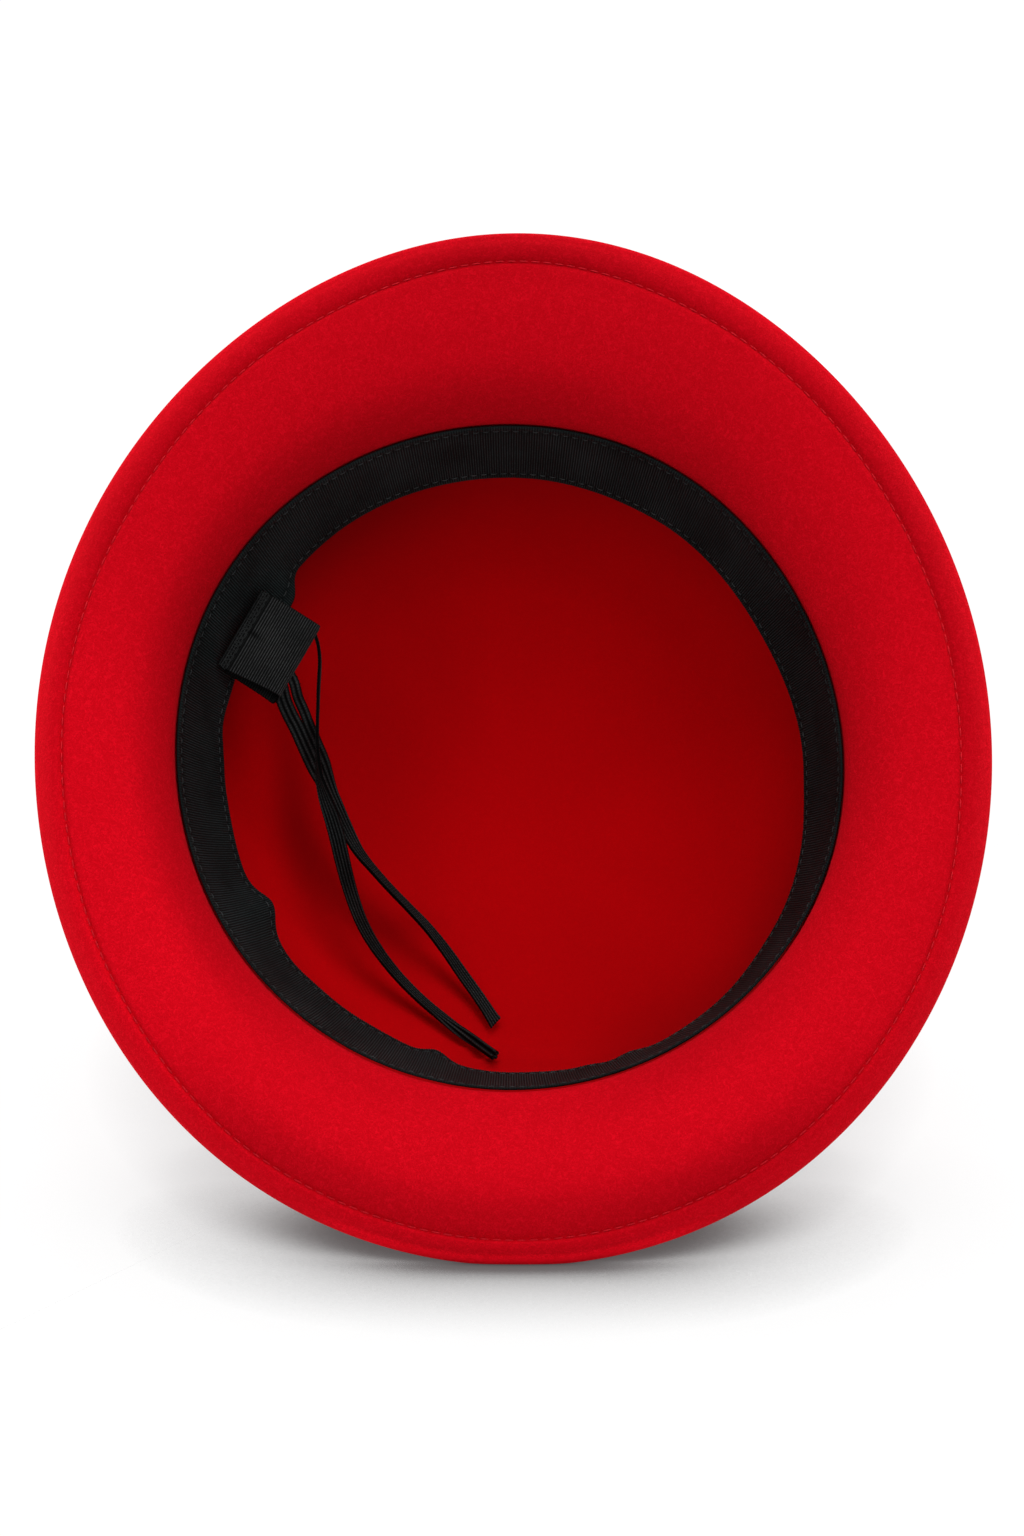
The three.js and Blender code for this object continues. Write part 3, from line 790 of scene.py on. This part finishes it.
def add_felt():
    inner = inner_section()
    outward = felt_normals(inner)
    last = len(inner) - 1
    inward = MEAN_EDGE - inner[:, 0]
    half_step = 0.35
    on_hem = smoothstep((HEM_WIDTH + half_step - inward) / (2 * half_step))
    outer = inner + outward * (FELT + FELT * on_hem)[:, None]
    relief = hem_relief(inward) * smoothstep((GROOVE_FADE - inward) / RELIEF_FADE)
    seen = inner - outward * relief[:, None]
    sunk = BACK_SHARE * np.minimum(relief, 0) * (inward < GROOVE_IN + BACK_BEYOND)
    outer = outer + outward * sunk[:, None]
    tip = outward[last]
    ahead = np.array([-tip[1], tip[0]])
    arc = np.radians(np.linspace(0, 180, FOLD_ROWS)[1:-1])[:, None]
    fold = inner[last] + tip * FELT * (1 - np.cos(arc)) + ahead * FELT * np.sin(arc)
    thin = np.arange(last, 0, -2)
    section = np.vstack([seen, fold, outer[thin]])
    station = np.concatenate([np.arange(last + 1), np.full(len(fold), last), thin])
    columns = FELT_COLUMNS
    angle = np.linspace(0, 2 * math.pi, columns, endpoint=False)
    shifted = section[:, :1] - groove_shift(angle[None, :], inward[station][:, None])
    points = shape_felt(shifted, section[:, 1:], angle[None, :])
    need = rest(points[..., 2]) - points[..., 2]
    lift = np.zeros((last + 1, columns))
    np.maximum.at(lift, station, need)
    by_edge = 1 - fade_in(inward, inward[last], LIFT_FADE)
    lift = np.maximum(lift, lift[last][None, :] * by_edge[:, None])
    points = points + lift[station][..., None] * UP
    rows = len(section)
    faces = grid_faces(rows, columns, wrap_columns=True)
    inside_top = place(0.0, 0.0, -CROWN_DEPTH)
    outside_top = place(0.0, 0.0, -CROWN_DEPTH - FELT)
    count = rows * columns
    ends = [(0, count), ((rows - 1) * columns, count + 1)]
    for first, pole in ends:
        for k in range(columns):
            faces.append([first + k, first + (k + 1) % columns, pole])
    # Painted light and shade of the felt with a plain tone on the outside, and the nap's strength, which
    # deep inside also gives the painted bounced red
    tone_and_painted_shade = felt_painted_shade(angle[None, :], section[:, :1], section[:, 1:])
    nap_and_bounce = NAP_AND_BOUNCE_INSIDE + (1 - NAP_AND_BOUNCE_INSIDE) * fade_in(section[:, 1:], *NAP_AND_BOUNCE_FADE)
    nap_and_bounce = np.broadcast_to(nap_and_bounce, (rows, columns))
    outside = (np.arange(rows) > last + len(fold))[:, None]
    plain = fade_in(inward[station][:, None], *OUTSIDE_FADE) * outside
    tone_and_painted_shade = tone_and_painted_shade + (OUTSIDE_TINT - tone_and_painted_shade) * plain
    nap_and_bounce = np.maximum(nap_and_bounce, outside)
    values = {
        "tone_and_painted_shade": np.append(tone_and_painted_shade, [DEEP_LIGHT, OUTSIDE_TINT]),
        "nap_and_bounce": np.append(nap_and_bounce, [NAP_AND_BOUNCE_INSIDE, 1.0]),
    }
    spots = np.vstack([points.reshape(-1, 3), inside_top, outside_top])
    piece = add_piece("felt_hat", spots, faces, felt_look, values)
    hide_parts("felt_body")


add_felt()


# Rows of small stitches, each a short thread that dips in at both ends
def add_stitches(name, centre, along, up, long, thick, material):
    share = np.linspace(-1, 1, STITCH_ROWS)
    around = np.linspace(0, 2 * math.pi, STITCH_SIDES, endpoint=False)
    swell = np.sqrt(np.clip(1.05 - share**4, 0.05, 1)) * thick / 2
    along = unit(along)
    side = unit(np.cross(along, up))
    over = np.cross(side, along)
    arch = (1 - share**2) * thick * STITCH_ARCH - thick * STITCH_SINK
    step = along[:, None] * (share * long / 2)[None, :, None]
    run = centre[:, None] + step + over[:, None] * arch[None, :, None]
    sideways = side[:, None, None] * np.cos(around)[None, None, :, None]
    upward = over[:, None, None] * np.sin(around)[None, None, :, None]
    points = run[:, :, None] + (sideways + upward) * swell[None, :, None, None]
    faces = []
    size = len(share) * len(around)
    for k in range(len(centre)):
        start = k * size
        faces += grid_faces(len(share), len(around), wrap_columns=True, start=start)
        faces.append(list(range(start, start + len(around))))
        faces.append(list(range(start + size - len(around), start + size)))
    # Painted highlight on each stitch's upper side, painted shade on its lower side
    highlight_share = np.broadcast_to(0.5 + 0.5 * np.sin(around), points.shape[:3])
    add_piece(name, points.reshape(-1, 3), faces, material, {"painted_highlight": highlight_share})


# Angles at which a line round the hat has steps of one pitch
def even_angles(points_at, pitch):
    steps = 4000
    fine = np.linspace(0, 2 * math.pi, steps)
    line = points_at(fine)
    run = np.concatenate([[0], np.cumsum(np.linalg.norm(np.diff(line, axis=0), axis=1))])
    count = int(run[-1] / pitch)
    return np.interp((np.arange(count) + 0.5) * run[-1] / count, run, fine)


def brim_thread():
    n = Nodes("thread_red")
    where = n.add("ShaderNodeTexCoord").outputs["Object"]
    strands = n.noise(where, 2600.0, 2.0, 0.5)
    share = n.ramp(strands, 0.35, 0.65, 0.0, 1.0)
    colour = n.mix(share, (0.62, 0.005, 0.015, 1), (0.80, 0.014, 0.028, 1))
    inputs = {"Base Color": colour, "Roughness": 0.6, "Specular IOR Level": 0.15}
    return n.finish(n.add("ShaderNodeBsdfPrincipled", inputs).outputs[0])


# One row of stitches along the hem's groove, on one face of the felt
def add_brim_row(name, w, up, look):
    def line(angle):
        return shape_felt(MEAN_EDGE - round_list(angle, GROOVE_ROUND), np.full_like(angle, w), angle)

    angle = even_angles(line, BRIM_STITCH_PITCH)
    centre = line(angle)
    along = line(angle + SMALL_TURN) - line(angle - SMALL_TURN)
    up = np.broadcast_to(up, centre.shape)
    centre = centre + UP * np.maximum(0, BRIM_STITCH_CLEAR - centre[:, 2:3])
    add_stitches(name, centre, along, up, BRIM_STITCH_LONG, BRIM_STITCH_THICK, look)


def add_brim_stitches():
    look = brim_thread()
    add_brim_row("brim_stitches_inside", BRIM_RISE - GROOVE_DEPTH + BRIM_STITCH_HIGH, W, look)
    add_brim_row("brim_stitches_outside", BRIM_RISE - 2 * FELT - BRIM_STITCH_BACK, -W, look)


add_brim_stitches()


# Sweatband: lean by angle and by the share of its width, then the ribbed strip
def folds_at(degrees, folds, power):
    inward = 0.0
    for middle, wide, deep in folds:
        off = (degrees - middle + 540) % 360 - 180
        inward = inward + deep * np.exp(-(np.abs(off / wide) ** power))
    return inward


def band_lean(angle, share):
    degrees = np.degrees(angle) % 360
    lean = round_list(angle, LEAN) + folds_at(degrees, FOLDS, FOLD_POWER)
    return lean * share**LEAN_POWER + folds_at(degrees, CURLS, CURL_FLATNESS) * share**CURL_POWER


def band_spot(angle, share, off):
    lean = band_lean(angle, share)
    radius = BAND_RADIUS + off - lean + wave_at(angle, OPENING_WAVES) * (1 - share)
    w = -BAND_TOP - BAND_WIDTH * share + lean * share / LEAN_RISE
    return place(radius * np.cos(angle), radius * OVAL * np.sin(angle), w)


def add_band():
    columns = BAND_RIBS * RIB_STEPS
    angle = np.linspace(0, 2 * math.pi, columns, endpoint=False)[None, :]
    rib = RIB_HIGH * np.cos(BAND_RIBS * angle)
    half = BAND_THICK / 2
    seen = np.array(BAND_SEEN)[:, None]
    from_edge = np.minimum(seen, 1 - seen)
    border = BORDER_RIB_SHARE + (1 - BORDER_RIB_SHARE) * smoothstep(from_edge / BORDER_WIDE)
    sewn = sum(bell(seen, at, STITCH_WIDE) for at in STITCH_SHARES)
    edge = np.clip(from_edge / EDGE_ROUND, 0, 1)
    face = -half * (EDGE_THIN + (1 - EDGE_THIN) * edge) - rib * border + STITCH_DEEP * sewn
    front = band_spot(angle, seen, face)
    # Painted highlight on the tops of the ribs, fading by the edges, with painted shade along the stitch
    # lines
    highlight_share = (0.5 + 0.5 * np.cos(BAND_RIBS * angle)) ** 2 * border * (1 - STITCH_SHADE * sewn)
    hidden = np.array(BAND_HIDDEN)[:, None]
    back_edge = np.clip(np.minimum(hidden, 1 - hidden) / BACK_ROUND, 0, 1)
    round_back = BACK_THIN + (1 - BACK_THIN) * back_edge
    back = band_spot(angle, hidden, half * round_back + 0 * angle)
    points = np.vstack([front, back])
    # A little painted highlight on the sewn edge of the back
    sewn_edge = SEWN_EDGE_HIGHLIGHT * (hidden == 0)
    painted_highlight = np.vstack([highlight_share, sewn_edge + np.zeros(back.shape[:2])])
    faces = grid_faces(len(points), columns, wrap_rows=True, wrap_columns=True)
    values = {"painted_highlight": painted_highlight}
    piece = add_piece("ribbed_sweatband", points.reshape(-1, 3), faces, ribbon_look, values)
    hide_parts("sweatband")


# One row of stitches along the sweatband
def add_band_row(name, share):
    off = -BAND_THICK / 2 + BAND_STITCH_IN

    def line(angle):
        return band_spot(angle, np.full_like(angle, share), np.full_like(angle, off))

    angle = even_angles(line, BAND_STITCH_PITCH)
    centre = line(angle)
    along = line(angle + SMALL_TURN) - line(angle - SMALL_TURN)
    inward = place(0.0, 0.0, -BAND_MIDDLE) - centre
    add_stitches(name, centre, along, inward, BAND_STITCH_LONG, BAND_STITCH_THICK, thread_look)


def add_band_stitches():
    add_band_row("band_stitches_sewn", STITCH_SHARES[0])
    add_band_row("band_stitches_free", STITCH_SHARES[1])


add_band()
add_band_stitches()


# Adjuster loop: a ribbed ribbon folded over, open at both ends
def loop_axes():
    outward = math.cos(LOOP_ANGLE) * U + math.sin(LOOP_ANGLE) * V
    along = np.cross(-outward, W)
    inward = -outward * math.cos(LOOP_TILT) - W * math.sin(LOOP_TILT)
    out = -outward * math.sin(LOOP_TILT) + W * math.cos(LOOP_TILT)
    base = OPENING_AT + LOOP_BASE_RADIUS * outward - LOOP_DEPTH * W + LOOP_SHIFT * along
    return base, inward, out, along


# The folded ribbon seen from its side: along the base, up to the full height, round the fold and back
def loop_profile():
    t = np.linspace(0, 1, LOOP_RISE_ROWS)[:, None]
    low = LOOP_BASE_HALF
    high = LOOP_HALF
    shoulder = LOOP_SEWN + 2 * LOOP_NECK
    a = np.array([LOOP_SEWN, low])
    b = np.array([LOOP_SEWN + LOOP_NECK, low])
    c = np.array([LOOP_SEWN + LOOP_NECK, high])
    d = np.array([shoulder, high])
    rise = a * (1 - t) ** 3 + 3 * b * t * (1 - t) ** 2 + 3 * c * t**2 * (1 - t) + d * t**3
    neck = LOOP_REACH - LOOP_HALF
    sewn = np.array([[0.0, low]])
    ahead = np.linspace(shoulder, neck, LOOP_FLAT_ROWS)[1:]
    flat = np.stack([ahead, np.full_like(ahead, LOOP_HALF)], -1)
    turn = np.radians(np.linspace(90, -90, LOOP_TIP_ROWS)[1:-1])
    tip = np.stack([neck + LOOP_HALF * np.cos(turn), LOOP_HALF * np.sin(turn)], -1)
    top = np.vstack([sewn, rise, flat])
    path = np.vstack([top, tip, top[::-1] * [1, -1]])
    run = np.concatenate([[0], np.cumsum(np.linalg.norm(np.diff(path, axis=0), axis=1))])
    even = np.linspace(0, run[-1], int(run[-1] / LOOP_STEP))
    return np.stack([np.interp(even, run, path[:, k]) for k in range(2)], -1), even


# Strength of the crease over the loop's base, which lies on the near layer alone
def loop_crease(path, run, across):
    way = (path[:, :1] - LOOP_SEWN) / CREASE_LONG
    off = across[None, :] * LOOP_LONG / 2 + CREASE_SHIFT - CREASE_SLANT * way
    near = run[:, None] < run[-1] * CREASE_UNTIL
    fade = smoothstep(way / CREASE_IN) * (1 - fade_in(way, *CREASE_OUT)) * near
    return fade * np.exp(-((off / CREASE_WIDE) ** 2))


def add_loop():
    base, inward, out, along = loop_axes()
    path, run = loop_profile()
    whole = run[-1]
    ahead = unit(np.gradient(path, axis=0))
    normal = np.stack([-ahead[:, 1], ahead[:, 0]], -1)
    wave = np.cos(2 * math.pi * run / LOOP_PITCH)
    half_way = fade_in(run, whole * SKEW_FROM, whole * SKEW_FADE)
    skew = LOOP_SKEW * half_way * np.clip(path[:, 0] / LOOP_REACH, 0, 1)
    across = np.linspace(-1, 1, LOOP_COLUMNS)
    from_side = 1 - np.abs(across)
    fall = smoothstep(from_side / SIDE_ROUND) * (1 - SIDE_LEAST) + SIDE_LEAST
    from_base = path[:, :1]
    taper = LOOP_TAPER * smoothstep(from_base / LOOP_REACH) * (across[None, :] + 1) / 2
    sideways = across[None, :] * LOOP_LONG / 2 + skew[:, None] - taper
    # Painted highlight on the ribs, darker at the sides, less on the sewn strip, and painted shade along the
    # sewn line
    painted_weave_light = ((0.5 + 0.5 * wave) ** 2)[:, None] * smoothstep(from_side / SIDE_DARK)
    beyond = fade_in(from_base, LOOP_SEWN - STRIP_FADE / 2, STRIP_FADE)
    painted_weave_light = painted_weave_light * (STRIP_HIGHLIGHT + (1 - STRIP_HIGHLIGHT) * beyond)
    painted_weave_light = painted_weave_light * (1 - SEWN_LINE_SHADE * bell(from_base, LOOP_SEWN + LINE_BEYOND, LINE_WIDE))
    layers = []
    highlight_shares = []
    for depth, sign, deep, tone in ((0.0, 1, CREASE_DEEP, 1.0), (LOOP_RIBBON, -1, CREASE_BACK, BACK_HIGHLIGHT)):
        flat = path - normal * depth
        bulge = sign * LOOP_RIB_HIGH * (wave - 1)[:, None]
        crease = -deep * loop_crease(path, run, across)
        p = flat[:, :1] + normal[:, :1] * (bulge + crease) * fall
        q = flat[:, 1:] + normal[:, 1:] * (bulge + crease) * fall
        layers.append(base + p[..., None] * inward + q[..., None] * out + sideways[..., None] * along)
        # Painted shade in the crease, and less painted highlight on the back layer
        highlight_shares.append(painted_weave_light * (1 + CREASE_SHADE * crease) * tone)
    rows = len(path)
    sheet = np.concatenate([layers[0], layers[1][:, ::-1]], axis=1)
    painted_highlight = np.concatenate([highlight_shares[0], highlight_shares[1][:, ::-1]], axis=1)
    columns = sheet.shape[1]
    faces = grid_faces(rows, columns, wrap_columns=True)
    half = columns // 2
    for row in (0, rows - 1):
        for k in range(half - 1):
            corner = row * columns
            far = corner + columns - 1 - k
            faces.append([corner + k, corner + k + 1, far - 1, far])
    piece = add_piece("ribbed_loop", sheet.reshape(-1, 3), faces, loop_look, {"painted_highlight": painted_highlight})
    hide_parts("adjuster_loop")


# Uneven zigzag sewing over the loop's base, and a straight row beside it
def add_loop_stitches():
    base, inward, out, along = loop_axes()
    centre = []
    lead = []
    for k in range(ZIGZAG_COUNT):
        sway = 0.22 * math.sin(7.3 * k)
        at = (k + 0.5 + sway) / ZIGZAG_COUNT * LOOP_LONG - LOOP_LONG / 2
        reach = ZIGZAG_REACH + 0.18 * math.sin(4.1 * k)
        turn = 1 if k % 2 else -1
        slant = (0.8 + 0.3 * math.sin(5.7 * k)) * turn
        centre.append(base + reach * inward + at * along + (LOOP_BASE_HALF - ZIGZAG_SINK) * out)
        lead.append(inward * 2.0 + along * slant)
    for k in range(ROW_COUNT):
        at = (k + 0.5) / ROW_COUNT * LOOP_LONG - LOOP_LONG / 2
        centre.append(base + ROW_REACH * inward + at * along + (LOOP_BASE_HALF + ROW_HIGH) * out)
        lead.append(along * 2.0)
    centre = np.array(centre)
    up = np.broadcast_to(out, centre.shape)
    add_stitches(
        "loop_stitches",
        centre,
        np.array(lead),
        up,
        LOOP_STITCH_LONG,
        LOOP_STITCH_THICK,
        loop_thread,
    )


add_loop()
add_loop_stitches()


# Studio: a pale glowing floor with a painted shadow round the hat, soft light all round and a broad key from
# the upper right
def add_floor():
    mesh = bpy.data.meshes.new("floor")
    reach = 40.0
    corners = [(-reach, -reach, 0), (reach, -reach, 0), (reach, reach, 0), (-reach, reach, 0)]
    mesh.from_pydata(corners, [], [(0, 1, 2, 3)])
    n = Nodes("pale_floor")
    # The floor's glow is darkened by occlusion near the hat: a painted contact shadow and a wider painted
    # shade
    close = n.add("ShaderNodeAmbientOcclusion", {"Distance": 0.036}, samples=12).outputs["AO"]
    wide = n.add("ShaderNodeAmbientOcclusion", {"Distance": 0.06}, samples=12).outputs["AO"]
    contact_shadow = n.ramp(close, 0.655, 1.0, 0.15, 1.0)
    shade = n.ramp(wide, 0.0, 1.0, 0.38, 1.0)
    glow_with_painted_shadow = n.math("MULTIPLY", n.math("MULTIPLY", contact_shadow, shade), 0.9)
    inputs = {
        "Base Color": (0.09, 0.09, 0.09, 1),
        "Roughness": 0.9,
        "Specular IOR Level": 0.1,
        "Emission Color": (1.0, 1.0, 1.0, 1),
        "Emission Strength": glow_with_painted_shadow,
    }
    mesh.materials.append(n.finish(n.add("ShaderNodeBsdfPrincipled", inputs).outputs[0]))
    floor = bpy.data.objects.new("floor", mesh)
    bpy.context.collection.objects.link(floor)


# Round soft light at a place, turned towards its aim
def add_light(name, at, aim, size, energy):
    data = bpy.data.lights.new(name, "AREA")
    data.shape = "DISK"
    data.size = size
    data.energy = energy
    light = bpy.data.objects.new(name, data)
    bpy.context.collection.objects.link(light)
    light.location = at
    way = np.array(aim) - np.array(at)
    flat = math.hypot(way[0], way[1])
    light.rotation_euler = (math.atan2(flat, -way[2]), 0.0, math.atan2(way[1], way[0]) - math.pi / 2)


def add_studio():
    add_floor()
    world = bpy.data.worlds.new("studio")
    world.use_nodes = True
    background = world.node_tree.nodes["Background"]
    background.inputs["Color"].default_value = (1.0, 1.0, 1.0, 1)
    background.inputs["Strength"].default_value = 0.2
    bpy.context.scene.world = world
    middle = (0.0, 0.0, 0.1)
    add_light("key", (1.0, -1.6, 1.9), middle, 1.3, 12.3)
    add_light("fill", (-1.0, -1.6, 1.9), middle, 1.0, 3.4)
    add_light("top_front", (0.0, -0.8, 2.2), middle, 1.2, 11.2)
    add_light("top_back", (0.0, 0.9, 2.4), middle, 1.5, 40.0)
    add_light("back_left", (-1.6, 0.9, 0.9), middle, 0.8, 19.0)
    add_light("back_right", (1.6, 0.9, 0.9), middle, 0.8, 15.7)
    bpy.context.scene.view_settings.view_transform = "Standard"


add_studio()
